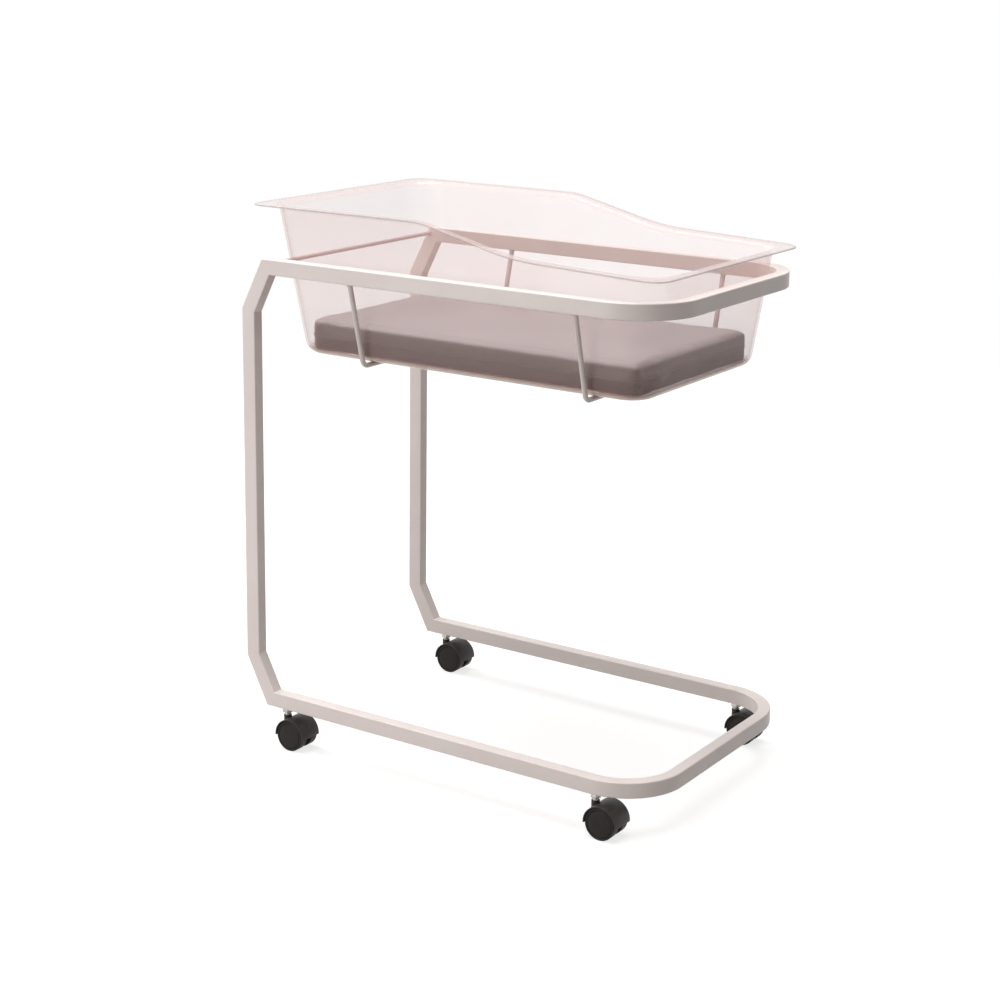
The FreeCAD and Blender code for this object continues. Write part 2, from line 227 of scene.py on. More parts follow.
def mattress_vinyl():
    """Coated fabric: tight weave under a soft film, creased lightly; painted shade on the sides and
    the top's edge, darker still below the seam.
    """
    f = Finish("mattress_vinyl")
    weave = f.waves("X", scale=260.0) * f.waves("Y", scale=260.0)
    creases = f.noise(16.0, detail=5.0, rough=0.62)
    clouds = f.ramp(f.noise(6.0, detail=3.0, rough=0.5), low=0.3, high=0.7)
    top = f.mix(clouds, srgb(142, 132, 132), srgb(134, 124, 124))
    # painted shade: the sides and the edge of the top are painted darker than the top, darker still
    # below the seam
    painted_side_shade = f.mix(f.attribute("low"), srgb(66, 61, 59), srgb(20, 18, 18))
    return f.surface(Base_Color=f.mix(f.attribute("side"), top, painted_side_shade),
                     Roughness=creases * 0.12 + 0.42,
                     Normal=f.bump(weave * 0.15 + creases, strength=0.35, distance=1.4 * MM),
                     Sheen_Weight=0.15)


def welt_vinyl():
    """The same coated fabric as a narrow ribbed cord, with a painted highlight on its ribs and
    painted shade in the creases between them.
    """
    f = Finish("welt_vinyl")
    lit_rib, shaded_crease = srgb(64, 58, 56), srgb(50, 45, 43)
    ribs = f.noise(420.0, detail=2.0, rough=0.5)
    # painted light and shade: lighter where the ribs stand up, darker in the creases, following the
    # bump
    return f.surface(Base_Color=f.mix(ribs, lit_rib, shaded_crease), Roughness=ribs * 0.1 + 0.45,
                     Normal=f.bump(ribs, strength=0.4, distance=0.6 * MM))


# -------------------------------------------------------------- mesh wording
def new_object(name, data):
    """Adds an object to the scene, at the origin."""
    made = bpy.data.objects.new(name, data)
    bpy.context.collection.objects.link(made)
    return made


def modified_mesh(piece):
    """Plain mesh of an object as its modifiers make it."""
    graph = bpy.context.evaluated_depsgraph_get()
    return bpy.data.meshes.new_from_object(piece.evaluated_get(graph))


def freeze(piece):
    """Applies the modifiers of an object to its mesh."""
    made = modified_mesh(piece)
    piece.modifiers.clear()
    piece.data = made


def apply_modifier(piece, kind, **settings):
    modifier = piece.modifiers.new(kind.lower(), kind)
    for key, value in settings.items():
        setattr(modifier, key, value)
    freeze(piece)


def smooth(mesh, crease=None):
    """Smooth shading, with edges that turn by more than crease degrees left crisp."""
    for polygon in mesh.polygons:
        polygon.use_smooth = True
    if crease:
        mesh.set_sharp_from_angle(angle=radians(crease))


def add_piece(name, mesh, body, material, replaced=()):
    """Puts a finished mesh on its body, in place of the named solids."""
    mesh.materials.clear()
    mesh.materials.append(material)
    piece = new_object(name, mesh)
    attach(piece, body)
    if replaced:
        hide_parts(*replaced)
    return piece


def rows_to_bmesh(rows, closed_rows=False, layers=None):
    """Quads between rows of points, each row a closed loop; layers gives values per row by name."""
    layers = layers or {}
    bm = bmesh.new()
    for name in layers:
        bm.verts.layers.float.new(name)
    made = [[bm.verts.new(point) for point in points] for points in rows]
    for name, values in layers.items():
        layer = bm.verts.layers.float[name]
        for row, value in zip(made, values):
            for vert in row:
                vert[layer] = value
    count = len(rows[0])
    pairs = list(zip(made, made[1:]))
    if closed_rows:
        pairs.append((made[-1], made[0]))
    for first, second in pairs:
        for i in range(count):
            j = (i + 1) % count
            bm.faces.new((first[i], first[j], second[j], second[i]))
    return bm, made


def bmesh_to_mesh(bm, name):
    bmesh.ops.recalc_face_normals(bm, faces=bm.faces)
    mesh = bpy.data.meshes.new(name)
    bm.to_mesh(mesh)
    bm.free()
    return mesh


def turned(profile, centre, sides):
    """Solid turned round the Y axis through centre; profile is (radius, y) from pole to pole."""
    bm = bmesh.new()
    angles = [2 * pi * i / sides for i in range(sides)]
    rows = []
    for radius, along in profile:
        y = centre.y + along
        if radius == 0.0:
            rows.append([bm.verts.new((centre.x, y, centre.z))])
        else:
            rows.append([bm.verts.new((centre.x + radius * cos(a), y, centre.z + radius * sin(a)))
                         for a in angles])
    for first, second in zip(rows, rows[1:]):
        for i in range(sides):
            j = (i + 1) % sides
            if len(first) == 1:
                bm.faces.new((first[0], second[i], second[j]))
            elif len(second) == 1:
                bm.faces.new((first[i], second[0], first[j]))
            else:
                bm.faces.new((first[i], second[i], second[j], first[j]))
    return bm


def quarter_turn(steps):
    """Angles from 0 to a right angle, both included."""
    return [pi / 2 * i / steps for i in range(steps + 1)]


def arc_points(centre, radius, start, end, steps):
    """Points on an arc in any 2D pair of axes, both ends included."""
    cx, cy = centre
    angles = [start + (end - start) * i / steps for i in range(steps + 1)]
    return [(cx + radius * cos(a), cy + radius * sin(a)) for a in angles]


def rounded_path(points, radius, steps):
    """Path through points with an arc at each inner corner."""
    path = [points[0]]
    for before, corner, after in zip(points, points[1:], points[2:]):
        back = (before - corner).normalized()
        ahead = (after - corner).normalized()
        half_turn = (pi - back.angle(ahead)) / 2
        setback = radius * tan(half_turn)
        centre = corner + (back + ahead).normalized() * (radius / cos(half_turn))
        start = (corner + back * setback - centre).normalized()
        end = (corner + ahead * setback - centre).normalized()
        path += [centre + start.slerp(end, i / steps) * radius for i in range(steps + 1)]
    path.append(points[-1])
    return path


def clamp(value):
    """The value, held between 0 and 1."""
    return max(0.0, min(1.0, value))


# ------------------------------------------ Geometry Nodes: cords and stitches
class Recipe(Graph):
    """A Geometry Nodes group that makes a mesh on a wire, with a named input for each size."""

    def __init__(self, name, **sizes):
        """sizes gives the first value of each size; a whole number makes a count."""
        super().__init__(bpy.data.node_groups.new(name, "GeometryNodeTree"))
        kinds = {"wire": "NodeSocketGeometry"}
        for key, value in sizes.items():
            kinds[key] = "NodeSocketInt" if isinstance(value, int) else "NodeSocketFloat"
        kinds["material"] = "NodeSocketMaterial"
        sockets = self.tree.interface
        self.identifiers = {}
        for key, kind in kinds.items():
            title = key.replace("_", " ").capitalize()
            socket = sockets.new_socket(name=title, in_out="INPUT", socket_type=kind)
            if key in sizes:
                socket.default_value = sizes[key]
            self.identifiers[key] = socket.identifier
        sockets.new_socket(name="Mesh", in_out="OUTPUT", socket_type="NodeSocketGeometry")
        enter = self.tree.nodes.new("NodeGroupInput")
        self.given = {key: Value(self, enter.outputs[i]) for i, key in enumerate(kinds)}

    def line(self, spacing):
        """The wire as a curve with points at this spacing."""
        line = self.node("GeometryNodeMeshToCurve", None, {"Mesh": self.given["wire"]})
        inputs = {"Curve": line, "Length": spacing}
        return self.node("GeometryNodeResampleCurve", {"mode": "LENGTH"}, inputs)

    def circle(self, sides, radius):
        inputs = {"Resolution": sides, "Radius": radius}
        return self.node("GeometryNodeCurvePrimitiveCircle", None, inputs)

    def soft(self, geometry):
        return self.node("GeometryNodeSetShadeSmooth", None, {"Geometry": geometry})

    def finish(self, geometry):
        """Ends the group in plain geometry with the given material."""
        real = self.node("GeometryNodeRealizeInstances", None, {"Geometry": geometry})
        inputs = {"Geometry": real, "Material": self.given["material"]}
        self.end("NodeGroupOutput", self.node("GeometryNodeSetMaterial", None, inputs), 0)
        return self

    def grow(self, name, wire, **values):
        """Runs the group on a wire mesh and gives back the finished mesh."""
        holder = new_object(name, wire)
        modifier = holder.modifiers.new(name, "NODES")
        modifier.node_group = self.tree
        for key, value in values.items():
            modifier[self.identifiers[key]] = value
        mesh = modified_mesh(holder)
        bpy.data.objects.remove(holder)
        mesh.name = name
        return mesh


def sweep_recipe():
    """Round cord along every line of a wire; ripple is the random change of its thickness."""
    g = Recipe("swept_cord", radius=0.001, spacing=0.002, ripple=0.0, sides=10)
    inputs = {"Min": -1.0, "Max": 1.0, "Seed": 7}
    chance = g.node("FunctionNodeRandomValue", {"data_type": "FLOAT"}, inputs, out=1)
    thick = chance * g.given["ripple"] + 1.0
    inputs = {"Curve": g.line(g.given["spacing"]), "Radius": thick}
    rings = g.node("GeometryNodeSetCurveRadius", None, inputs)
    inputs = {"Curve": rings, "Profile Curve": g.circle(g.given["sides"], g.given["radius"]),
              "Scale": g.node("GeometryNodeInputRadius"), "Fill Caps": True}
    return g.finish(g.soft(g.node("GeometryNodeCurveToMesh", None, inputs)))


def thread_recipe():
    """Screw thread at each point of a wire: a helix of round section about the Z axis."""
    g = Recipe("screw_thread", radius=0.005, pitch=0.0015, turns=6.0, depth=0.0004)
    radius, turns = g.given["radius"], g.given["turns"]
    inputs = {"Resolution": 36, "Rotations": turns, "Start Radius": radius,
              "End Radius": radius, "Height": g.given["pitch"] * turns}
    helix = g.node("GeometryNodeCurveSpiral", None, inputs)
    inputs = {"Curve": helix, "Profile Curve": g.circle(6, g.given["depth"]), "Fill Caps": True}
    swept = g.node("GeometryNodeCurveToMesh", None, inputs)
    starts = g.node("GeometryNodeMeshToPoints", None, {"Mesh": g.given["wire"]})
    inputs = {"Points": starts, "Instance": swept}
    return g.finish(g.soft(g.node("GeometryNodeInstanceOnPoints", None, inputs)))


def stitch_recipe():
    """Short sewing stitches laid along every line of a wire."""
    g = Recipe("stitch_row", pitch=0.004, length=0.0026, thickness=0.0003)
    inputs = {"Vertices": 6, "Radius": g.given["thickness"], "Depth": g.given["length"]}
    stitch = g.node("GeometryNodeMeshCylinder", None, inputs)
    inputs = {"Vector": g.node("GeometryNodeInputTangent")}
    turn = g.node("FunctionNodeAlignRotationToVector", {"axis": "Z"}, inputs)
    inputs = {"Points": g.line(g.given["pitch"]), "Instance": stitch, "Rotation": turn}
    return g.finish(g.node("GeometryNodeInstanceOnPoints", None, inputs))


def wire_mesh(name, lines, closed=False):
    """Wire mesh of separate lines, in metres."""
    points = []
    edges = []
    for line in lines:
        first = len(points)
        points += [tuple(p) for p in line]
        edges += [(first + i, first + i + 1) for i in range(len(line) - 1)]
        if closed:
            edges.append((len(points) - 1, first))
    mesh = bpy.data.meshes.new(name)
    mesh.from_pydata(points, edges, [])
    return mesh


# -------------------------------------------------------------- welded frame
def corner_box(node):
    """Lowest and highest corner of a solid's box."""
    low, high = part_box(node)
    return Vector(low), Vector(high)


upper_low, upper_high = corner_box("upper_rail_loop")
base_low, _ = corner_box("base_rail_loop")
post_low, post_high = corner_box("post_near")

X_HEAD = post_low.x
X_FOOT = upper_high.x
HALF_WIDTH = upper_high.y
Z_TOP = upper_high.z
Z_BASE = base_low.z
TUBE_DEPTH = upper_high.z - upper_low.z
TUBE_WIDTH = post_high.y - post_low.y
BEND_RADIUS = 100 * MM               # outer radius of the rail loops at the foot
BEND_STEPS = 20
TOP_CORNER = (41 * MM, 82 * MM)      # run and rise of the slanting tubes
BASE_CORNER = (41 * MM, 79 * MM)
TUBE_EDGE = 1.8 * MM                 # rounding of the long edges
TUBE_EDGE_STEPS = 4
TUBE_EDGE_MARGIN = 0.3 * MM          # strip beside the rounding that keeps the flat sides flat
WELD_SINK = 0.6 * MM                 # how far the middle of a weld lies inside the tube
MITRE_WELD = {"radius": 0.6 * MM, "spacing": 1.6 * MM, "ripple": 0.15, "sides": 8}


def side_corners(depth):
    """The four mitred corners of the side frame this deep below its outer line, as (x, z)."""
    outer = [
        (X_FOOT, Z_BASE), (X_HEAD + BASE_CORNER[0], Z_BASE), (X_HEAD, Z_BASE + BASE_CORNER[1]),
        (X_HEAD, Z_TOP - TOP_CORNER[1]), (X_HEAD + TOP_CORNER[0], Z_TOP), (X_FOOT, Z_TOP),
    ]
    lines = []
    for (x0, z0), (x1, z1) in zip(outer, outer[1:]):
        along = Vector((x1 - x0, z1 - z0)).normalized()
        lines.append((Vector((x0, z0)) + Vector((along.y, -along.x)) * depth, along))
    corners = []
    for (a, along_a), (b, along_b) in zip(lines, lines[1:]):
        cross = along_a.x * along_b.y - along_a.y * along_b.x
        gap = b - a
        corners.append(a + along_a * ((gap.x * along_b.y - gap.y * along_b.x) / cross))
    return corners


def tube_section():
    """Rounded outline of the tube as (distance in from the side, depth below the outer line)."""
    r = TUBE_EDGE
    centres = [(TUBE_WIDTH - r, r), (TUBE_WIDTH - r, TUBE_DEPTH - r), (r, TUBE_DEPTH - r), (r, r)]
    points = []
    for number, centre in enumerate(centres):
        start = (number - 1) * pi / 2
        end = start + pi / 2
        arc = arc_points(centre, r, start, end, TUBE_EDGE_STEPS)
        first = Vector(arc[0]) - Vector((-sin(start), cos(start))) * TUBE_EDGE_MARGIN
        last = Vector(arc[-1]) + Vector((-sin(end), cos(end))) * TUBE_EDGE_MARGIN
        points += [tuple(first)] + arc + [tuple(last)]
    return points


def frame_rows():
    """Rows of section points round the frame: base loop, far side, upper loop, near side."""
    section = tube_section()

    def mitre(index, side):
        row = []
        for u, w in section:
            corner = side_corners(w)[index]
            row.append((corner.x, side * (HALF_WIDTH - u), corner.y))
        return row

    def bend(z_of, side, angle):
        row = []
        for u, w in section:
            reach = BEND_RADIUS - u
            x = X_FOOT - BEND_RADIUS + reach * cos(angle)
            y = side * (HALF_WIDTH - BEND_RADIUS) + reach * sin(angle)
            row.append((x, y, z_of(w)))
        return row

    quarter = quarter_turn(BEND_STEPS)
    turns = [(-1, -angle) for angle in reversed(quarter)] + [(1, angle) for angle in quarter]
    rows = [mitre(0, -1)]
    rows += [bend(lambda w: Z_BASE + w, side, angle) for side, angle in turns]
    rows += [mitre(index, 1) for index in (0, 1, 2, 3)]
    rows += [bend(lambda w: Z_TOP - w, side, angle) for side, angle in reversed(turns)]
    rows += [mitre(index, -1) for index in (3, 2, 1)]
    return rows


def mitre_lines():
    """Outline of the tube at each mitred joint, sunk so that the weld is all but flush."""
    sunk_u = 1 - 2 * WELD_SINK / TUBE_WIDTH
    sunk_w = 1 - 2 * WELD_SINK / TUBE_DEPTH
    lines = []
    for side in (-1, 1):
        for index in range(4):
            line = []
            for u, w in tube_section():
                across = TUBE_WIDTH / 2 + (u - TUBE_WIDTH / 2) * sunk_u
                corner = side_corners(TUBE_DEPTH / 2 + (w - TUBE_DEPTH / 2) * sunk_w)[index]
                line.append((corner.x, side * (HALF_WIDTH - across), corner.y))
            lines.append(line)
    return lines


def make_frame(material, sweep):
    """The welded tubes as one skin, with a weld at each mitred joint."""
    bm, _ = rows_to_bmesh(frame_rows(), closed_rows=True)
    mesh = bmesh_to_mesh(bm, "tube_frame")
    smooth(mesh, crease=24)
    nodes = ["base_rail_loop", "upper_rail_loop"]
    for side in ("near", "far"):
        nodes += [f"base_corner_{side}", f"post_{side}", f"top_corner_{side}"]
    add_piece("tube_frame", mesh, "frame", material, nodes)
    wire = wire_mesh("weld_lines", mitre_lines(), closed=True)
    beads = sweep.grow("weld_beads", wire, material=material, **MITRE_WELD)
    add_piece("weld_beads", beads, "frame", material)


# ---------------------------------------------------------------------- rods
HANGER_DROP = 158 * MM               # top of the upper rail down to the middle of the bar
HANGER_LEAN = 34 * MM
HANGER_BEND = 14 * MM
HANGER_BEND_STEPS = 12
ROD_MESH = {"spacing": 1.5 * MM, "ripple": 0.0, "sides": 40}
ROD_WELD = {"radius": 1.3 * MM, "spacing": 1.2 * MM, "ripple": 0.2, "sides": 8}
ROD_WELD_IN = 1 * MM                 # from the end of the rod to the weld
ROD_WELD_OUT = 0.4 * MM              # from the skin of the rod to the middle of the weld
ROD_WELD_STEPS = 28


def hanger_path(x):
    """Middle line of a hanger: from under one rail down, across below the tub, and up again."""
    rail_y = HALF_WIDTH - TUBE_WIDTH / 2
    corner_y = rail_y - HANGER_LEAN
    z_under = Z_TOP - TUBE_DEPTH
    z_bar = Z_TOP - HANGER_DROP
    points = [Vector((x, -rail_y, z_under)), Vector((x, -corner_y, z_bar)),
              Vector((x, corner_y, z_bar)), Vector((x, rail_y, z_under))]
    return rounded_path(points, HANGER_BEND, HANGER_BEND_STEPS)


def ring_line(centre, axis, radius, steps):
    """Closed circle about axis, for the weld round the end of a rod."""
    across = axis.orthogonal().normalized()
    other = axis.cross(across).normalized()
    turns = [2 * pi * i / steps for i in range(steps)]
    return [centre + across * (radius * cos(a)) + other * (radius * sin(a)) for a in turns]


def make_rods(material, sweep):
    """Cross rod and hangers, each with a small weld round both ends."""
    welds = []
    for node in ("cradle_hanger_head", "cradle_hanger_foot", "head_cross_rod"):
        low, high = corner_box(node)
        centre = (low + high) / 2
        if node == "head_cross_rod":
            radius = (high.z - low.z) / 2
            path = [Vector((centre.x, y, centre.z)) for y in (low.y, high.y)]
        else:
            radius = (high.x - low.x) / 2
            path = hanger_path(centre.x)
        wire = wire_mesh(node + "_line", [path])
        mesh = sweep.grow(node + "_rod", wire, radius=radius, material=material, **ROD_MESH)
        smooth(mesh, crease=50)
        add_piece(node + "_rod", mesh, "frame", material, [node])
        for end, nearby in ((path[0], path[1]), (path[-1], path[-2])):
            axis = (nearby - end).normalized()
            welds.append(ring_line(end + axis * ROD_WELD_IN, axis, radius + ROD_WELD_OUT,
                                   ROD_WELD_STEPS))
    wire = wire_mesh("rod_weld_lines", welds, closed=True)
    beads = sweep.grow("rod_welds", wire, material=material, **ROD_WELD)
    add_piece("rod_welds", beads, "frame", material)


# ------------------------------------------------------------------- casters
WHEEL_SIDES = 96
WHEEL_EDGE = 1.4 * MM                # rounding beside the tread
WHEEL_EDGE_STEPS = 5
WHEEL_HUB = 0.4                      # share of the wheel's radius
WHEEL_RECESS = [                     # inner face: share of the radius, depth
    (0.42, 0.0), (0.45, 0.6 * MM), (0.90, 0.6 * MM), (0.92, 0.0),
]
WHEEL_RING = 0.84                    # groove in the outer face, share of the radius
WHEEL_RING_SHAPE = [                 # distance out from the groove, depth
    (1.4 * MM, 0.0), (1.0 * MM, 0.2 * MM), (0.0, 1.3 * MM),
    (-0.9 * MM, 0.5 * MM), (-2.0 * MM, 0.1 * MM),
]
HOOD_EDGE = 0.7 * MM
NUT_EDGE = 0.5 * MM
THREAD = {"pitch": 1.25 * MM, "turns": 3.0, "depth": 0.45 * MM}
THREAD_SINK = 0.1 * MM               # middle of the thread below the skin of the stem
THREAD_BARE_TURNS = 0.4              # between the thread and the nut


def softened(node, width, name):
    """Merged copy of a solid with small rounded edges."""
    mesh = NODES[node].data.copy()
    mesh.name = name
    bm = bmesh.new()
    bm.from_mesh(mesh)
    bmesh.ops.remove_doubles(bm, verts=bm.verts, dist=0.01 * MM)
    bmesh.ops.dissolve_limit(bm, angle_limit=radians(0.6), verts=bm.verts, edges=bm.edges)
    bm.to_mesh(mesh)
    bm.free()
    holder = new_object(name, mesh)
    apply_modifier(holder, "BEVEL", width=width, segments=3, limit_method="ANGLE",
                   angle_limit=radians(35), miter_outer="MITER_ARC", use_clamp_overlap=True)
    made = holder.data
    bpy.data.objects.remove(holder)
    smooth(made, crease=32)
    return made


def wheel_profile(radius, width, outward):
    """Profile of a wheel from its inner to its outer pole; outward is +1 or -1 along Y."""
    half = width / 2
    bead = radius - WHEEL_EDGE
    ring = radius * WHEEL_RING
    shape = [(0.0, -half)] + [(radius * share, -half + depth) for share, depth in WHEEL_RECESS]
    shape += arc_points((bead, -half + WHEEL_EDGE), WHEEL_EDGE, -pi / 2, 0.0, WHEEL_EDGE_STEPS)
    shape += [(radius, -width / 6), (radius, width / 6)]
    shape += arc_points((bead, half - WHEEL_EDGE), WHEEL_EDGE, 0.0, pi / 2, WHEEL_EDGE_STEPS)
    shape += [(ring + out, half - depth) for out, depth in WHEEL_RING_SHAPE]
    shape += [(radius * WHEEL_HUB, half), (0.0, half)]
    return [(r, y * outward) for r, y in shape]


def make_casters(nylon, tread, zinc, thread):
    """Wheels, hood, hexagon nut and a length of screw thread for each caster."""
    for place in PLACES:
        caster = f"caster_{place}_"
        for side, outward in (("near", -1), ("far", 1)):
            low, high = corner_box(caster + "wheel_" + side)
            profile = wheel_profile((high.z - low.z) / 2, high.y - low.y, outward)
            bm = turned(profile, (low + high) / 2, WHEEL_SIDES)
            disc = caster + side + "_disc"
            mesh = bmesh_to_mesh(bm, disc)
            smooth(mesh, crease=40)
            add_piece(disc, mesh, f"wheel_{side}_{place}", tread,
                      [caster + "wheel_" + side])
        hood = softened(caster + "hood", HOOD_EDGE, caster + "cover")
        add_piece(caster + "cover", hood, "fork_" + place, nylon,
                  [caster + "hood"])
        nut = softened(caster + "lock_nut", NUT_EDGE, caster + "hex_nut")
        add_piece(caster + "hex_nut", nut, "frame", zinc, [caster + "lock_nut"])
        low, high = corner_box(caster + "stem")
        nut_low, _ = corner_box(caster + "lock_nut")
        middle = (low + high) / 2
        drop = (THREAD["turns"] + THREAD_BARE_TURNS) * THREAD["pitch"]
        wire = wire_mesh("thread_start", [[Vector((middle.x, middle.y, nut_low.z - drop))]])
        screw = thread.grow(caster + "screw_thread", wire, material=zinc,
                            radius=(high.x - low.x) / 2 - THREAD_SINK, **THREAD)
        add_piece(caster + "screw_thread", screw, "frame", zinc)


# ----------------------------------------------------------------------- tub
tub_low, tub_high = corner_box("tub")
FLOOR_Z = tub_low.z
RIM_Z = tub_high.z                   # top of the rim at the head
RIM_X0, RIM_X1, RIM_Y = tub_low.x, tub_high.x, tub_high.y
TUB_WALL = 3 * MM
RIM_WIDTH = {"head": 21.5 * MM, "side": 19 * MM, "foot": 21 * MM}
DRAW_IN = {"head": 40 * MM, "side": 20 * MM, "foot": 31 * MM}   # rim height down to the floor
TUB_CORNER = 46 * MM
FLOOR_EDGE = 18 * MM
ROOT_RADIUS = 8 * MM                 # under the flange
LIP_RADIUS = ROOT_RADIUS + TUB_WALL  # over the top of the wall
RIM_CORNER = {"head": 24 * MM, "foot": 30 * MM}
STEP_START = X_HEAD + 335 * MM       # the sloping step of the rim
STEP_END = X_HEAD + 500 * MM
STEP_Z = Z_TOP + 43 * MM
FOOT_Z = Z_TOP + 33 * MM
STEP_HEAD_BEND = 150 * MM
STEP_FOOT_BEND = 400 * MM
TUB_STATIONS = (84, 24, 14)          # along a long side, a short side and a corner
TUB_BEND_STEPS = 7
WALL_SHARES = [0.04, 0.15, 0.3, 0.45, 0.6, 0.75, 0.9]
FLANGE_EDGE = [                      # share of the flange's width, rounding, tint
    (0.5, 0.0, 0.20), (0.88, 0.0, 0.40), (0.95, 0.1 * MM, 0.95),
    (0.985, 0.35 * MM, 1.0), (1.0, 0.9 * MM, 1.0),
]
FLOOR_TINT = 0.1
ROOT_TINT = 0.35
LIP_TINT = 0.45
BASE_FULL = 5 * MM                   # the tint in the floor's edge is full up to this height
BASE_FADE = 6 * MM
FLOOR_SHRINK = 0.93                  # size of the inner row that steadies the floor's shading


def rim_height(x):
    """Top of the rim at x: level head, arc, slope, arc and gentle fall."""
    slope = (RIM_Z - STEP_Z) / (STEP_END - STEP_START)
    fall = (STEP_Z - FOOT_Z) / (RIM_X1 - STEP_END)

    def arc_depth(corner, before, after, radius):
        """How far the arc between two gradients lies from the corner lines at x."""
        setback = radius * abs(before - after) / 2
        return max(0.0, setback - abs(x - corner)) ** 2 / (2 * radius)

    if x < STEP_START:
        z = RIM_Z
    elif x < STEP_END:
        z = RIM_Z - slope * (x - STEP_START)
    else:
        z = STEP_Z - fall * (x - STEP_END)
    z -= arc_depth(STEP_START, 0.0, slope, STEP_HEAD_BEND)
    z += arc_depth(STEP_END, slope, fall, STEP_FOOT_BEND)
    return z


def wall_extent(z, inset):
    """Head end, foot end and half width of the drafted wall's outer face, moved in by inset."""
    drop = RIM_Z - FLOOR_Z
    share = (RIM_Z - z) / drop
    top_x0 = RIM_X0 + RIM_WIDTH["head"]
    x0 = top_x0 + DRAW_IN["head"] * share + inset
    top_x1 = RIM_X1 - RIM_WIDTH["foot"] + DRAW_IN["foot"] * (RIM_Z - FOOT_Z) / drop
    x1 = top_x1 - DRAW_IN["foot"] * share - inset
    return x0, x1, RIM_Y - RIM_WIDTH["side"] - DRAW_IN["side"] * share - inset


def stations(long_steps, short_steps, corner_steps):
    """Places round a rounded rectangle: (on a corner, side or corner number, share along it)."""
    places = []
    for side in range(4):
        steps = long_steps if side % 2 == 0 else short_steps
        places += [(False, side, i / steps) for i in range(steps)]
        places += [(True, side, i / corner_steps) for i in range(corner_steps)]
    return places


def outline_point(station, x0, x1, half_y, head_radius, foot_radius):
    """Point on a rounded rectangle, from the near side at the head, round by the foot."""
    on_corner, side, share = station
    foot_x, foot_y = x1 - foot_radius, half_y - foot_radius
    head_x, head_y = x0 + head_radius, half_y - head_radius
    corners = [
        (foot_x, -foot_y, foot_radius), (foot_x, foot_y, foot_radius),
        (head_x, head_y, head_radius), (head_x, -head_y, head_radius),
    ]
    start = (side - 1) * pi / 2
    if on_corner:
        x, y, r = corners[side]
        return x + r * cos(start + share * pi / 2), y + r * sin(start + share * pi / 2)
    (ax, ay, ar), (bx, by, br) = corners[side - 1], corners[side]
    ax, ay = ax + ar * cos(start), ay + ar * sin(start)
    bx, by = bx + br * cos(start), by + br * sin(start)
    return ax + (bx - ax) * share, ay + (by - ay) * share


def tub_section():
    """Profile of the shell from the floor outside, over the rim and back to the floor inside.

    Each entry is (kind, height, offset, tint): "floor" heights count up from the floor, "wall"
    heights are a share of the straight wall, and "rim" and "flange" heights count down from the
    rim. "flange" offsets are a share of the flange's width, the others are insets from the outer
    face of the wall.
    """
    inner = FLOOR_EDGE - TUB_WALL
    up = quarter_turn(TUB_BEND_STEPS)
    down = up[::-1]
    section = [("floor", FLOOR_EDGE * (1 - cos(a)), FLOOR_EDGE * (1 - sin(a)), FLOOR_TINT * cos(a))
               for a in up]
    section += [("wall", share, 0.0, 0.0) for share in WALL_SHARES]
    section += [("rim", TUB_WALL + ROOT_RADIUS * (1 - sin(a)), -ROOT_RADIUS * (1 - cos(a)),
                 ROOT_TINT * sin(a)) for a in up]
    section += [("flange", TUB_WALL - drop, share, tint) for share, drop, tint in FLANGE_EDGE]
    section += [("flange", drop, share, tint) for share, drop, tint in reversed(FLANGE_EDGE)]
    section += [("rim", LIP_RADIUS * (1 - sin(a)), TUB_WALL - LIP_RADIUS * (1 - cos(a)),
                 LIP_TINT * sin(a)) for a in down]
    section += [("wall", share, TUB_WALL, 0.0) for share in reversed(WALL_SHARES)]
    section += [("floor", TUB_WALL + inner * (1 - cos(a)), TUB_WALL + inner * (1 - sin(a)),
                 FLOOR_TINT * cos(a)) for a in down]
    return section


def wall_point(station, z, inset):
    """Point of the wall at height z as (x, y), moved in from its outer face by inset."""
    radius = TUB_CORNER - inset
    return outline_point(station, *wall_extent(z, inset), radius, radius)


def shell_point(station, kind, height, offset):
    """Point of the shell at a station, for one entry of its profile."""
    rim_z = rim_height(wall_point(station, STEP_Z, 0.0)[0])
    if kind == "flange":
        wx, wy = wall_point(station, rim_z, -ROOT_RADIUS)
        ex, ey = outline_point(station, RIM_X0, RIM_X1, RIM_Y,
                               RIM_CORNER["head"], RIM_CORNER["foot"])
        x, y = wx + (ex - wx) * offset, wy + (ey - wy) * offset
        return x, y, rim_height(x) - height
    if kind == "floor":
        z = FLOOR_Z + height
    elif kind == "rim":
        z = rim_z - height
    else:
        low = FLOOR_Z + FLOOR_EDGE
        z = low + (rim_z - LIP_RADIUS - low) * height
    return (*wall_point(station, z, offset), z)


def close_floor(bm, row):
    """Fills a floor inside a row of points, with one smaller row so that its edge shades evenly."""
    centre = sum((vert.co for vert in row), Vector()) / len(row)
    inner = []
    for vert in row:
        point = centre + (vert.co - centre) * FLOOR_SHRINK
        inner.append(bm.verts.new((point.x, point.y, vert.co.z)))
    for i in range(len(row)):
        j = (i + 1) % len(row)
        bm.faces.new((row[i], row[j], inner[j], inner[i]))
    bm.faces.new(inner)


def make_tub(material):
    """Clear tub: one closed shell whose wall rolls over into the stepped flange."""
    rows = []
    tints = {"bend": [], "base": []}
    for kind, height, offset, tint in tub_section():
        rows.append([shell_point(station, kind, height, offset)
                     for station in stations(*TUB_STATIONS)])
        tints["bend"].append(tint)
        at_base = 1.0 - clamp((height - BASE_FULL) / BASE_FADE)
        tints["base"].append(at_base if kind == "floor" else 0.0)
    bm, made = rows_to_bmesh(rows, layers=tints)
    for row in (made[0], made[-1]):
        close_floor(bm, row)
    mesh = bmesh_to_mesh(bm, "clear_tub")
    smooth(mesh)
    add_piece("clear_tub", mesh, "tub", material, ["tub"])


